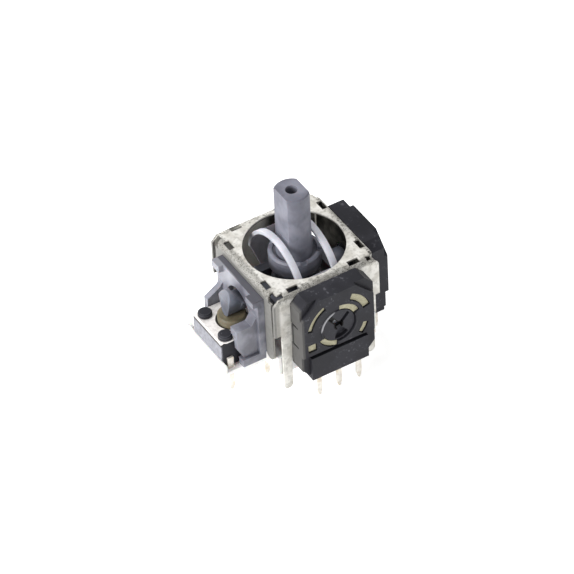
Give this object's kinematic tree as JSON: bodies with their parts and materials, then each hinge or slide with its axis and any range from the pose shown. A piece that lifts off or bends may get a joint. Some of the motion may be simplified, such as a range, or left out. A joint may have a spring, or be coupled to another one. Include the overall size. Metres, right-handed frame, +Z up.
{
  "type": "controller analog stick",
  "caption": "Sprung analog stick in a folded metal frame, read by rotary potentiometers on two sides, with a push switch worked by pressing the stick.",
  "frame": {"origin": "the stick's axis in the plane that seats on the circuit board, the base's underside", "axes": "+Z up the stick, -X towards the push switch, -Y towards potentiometer A, +X towards potentiometer B"},
  "size_m": [0.0205, 0.0155, 0.0221],
  "materials": {
    "plated_steel": "dull tin plate, mottled and scuffed along the edges",
    "natural_plastic": "natural white moulding",
    "shaft_plastic": "lilac-grey moulding, satin",
    "yoke_plastic": "darker lilac-grey moulding",
    "arch_plastic": "pale lilac-white moulding",
    "spring_steel": "bright spring steel",
    "bracket_plastic": "lilac-grey moulding",
    "black_plastic": "black moulding, scuffed",
    "switch_metal": "bright sheet metal",
    "plunger_plastic": "beige-brown moulding",
    "phenolic": "beige resin board",
    "rotor_plastic": "black moulding, satin",
    "terminal_metal": "tinned brass"
  },
  "bodies": {
    "root": {"frame": "plated_steel", "base": "natural_plastic", "return_spring": "spring_steel", "switch_bracket": "bracket_plastic", "switch_body": "black_plastic", "switch_cover": "switch_metal", "switch_dome": "spring_steel", "switch_terminals": "terminal_metal", "pot_a_housing": "black_plastic", "pot_a_wafer": "phenolic", "pot_a_terminals": "terminal_metal", "pot_b_housing": "black_plastic", "pot_b_wafer": "phenolic", "pot_b_terminals": "terminal_metal"},
    "arch": {"arch": "arch_plastic", "pot_a_rotor": "rotor_plastic", "pot_a_wiper": "spring_steel"},
    "rotor_b": {"pot_b_rotor": "rotor_plastic", "pot_b_wiper": "spring_steel"},
    "rocker": {"rocker": "yoke_plastic"},
    "stick": {"stick": "shaft_plastic"},
    "seat": {"spring_seat": "natural_plastic"},
    "plunger": {"switch_plunger": "plunger_plastic"}
  },
  "joints": [
    {"name": "tilt_about_x", "type": "hinge", "parent": "root", "child": "rotor_b", "pos_m": [0, 0, 0.00624], "axis": [1, 0, 0], "range_deg": [-18, 18], "stiffness_Nm_per_rad": 0.01},
    {"name": "press", "type": "hinge", "parent": "rotor_b", "child": "rocker", "pos_m": [0.007, 0, 0.00624], "axis": [0, -1, 0], "range_deg": [0, 0.94], "stiffness_Nm_per_rad": 0.3},
    {"name": "tilt_about_y", "type": "hinge", "parent": "rocker", "child": "stick", "pos_m": [0, 0, 0.00624], "axis": [0, 1, 0], "range_deg": [-18, 18], "stiffness_Nm_per_rad": 0.01},
    {"name": "arch_swing", "type": "hinge", "parent": "root", "child": "arch", "pos_m": [0, 0, 0.00624], "axis": [0, 1, 0], "range_deg": [-18, 18]},
    {"name": "plunger_travel", "type": "slide", "parent": "root", "child": "plunger", "axis": [0, 0, -1], "range_m": [0, 0.00025], "deforming": ["switch_dome"]},
    {"name": "seat_drop", "type": "slide", "parent": "root", "child": "seat", "axis": [0, 0, -1], "range_m": [0, 0.00012], "deforming": ["return_spring"]}
  ],
  "couplings": [
    {"joint": "arch_swing", "follows": "tilt_about_y", "ratio": 1},
    {"joint": "plunger_travel", "follows": "press", "m_per_rad": 0.01515},
    {"joint": "seat_drop", "follows": "press", "m_per_rad": 0.007}
  ]
}
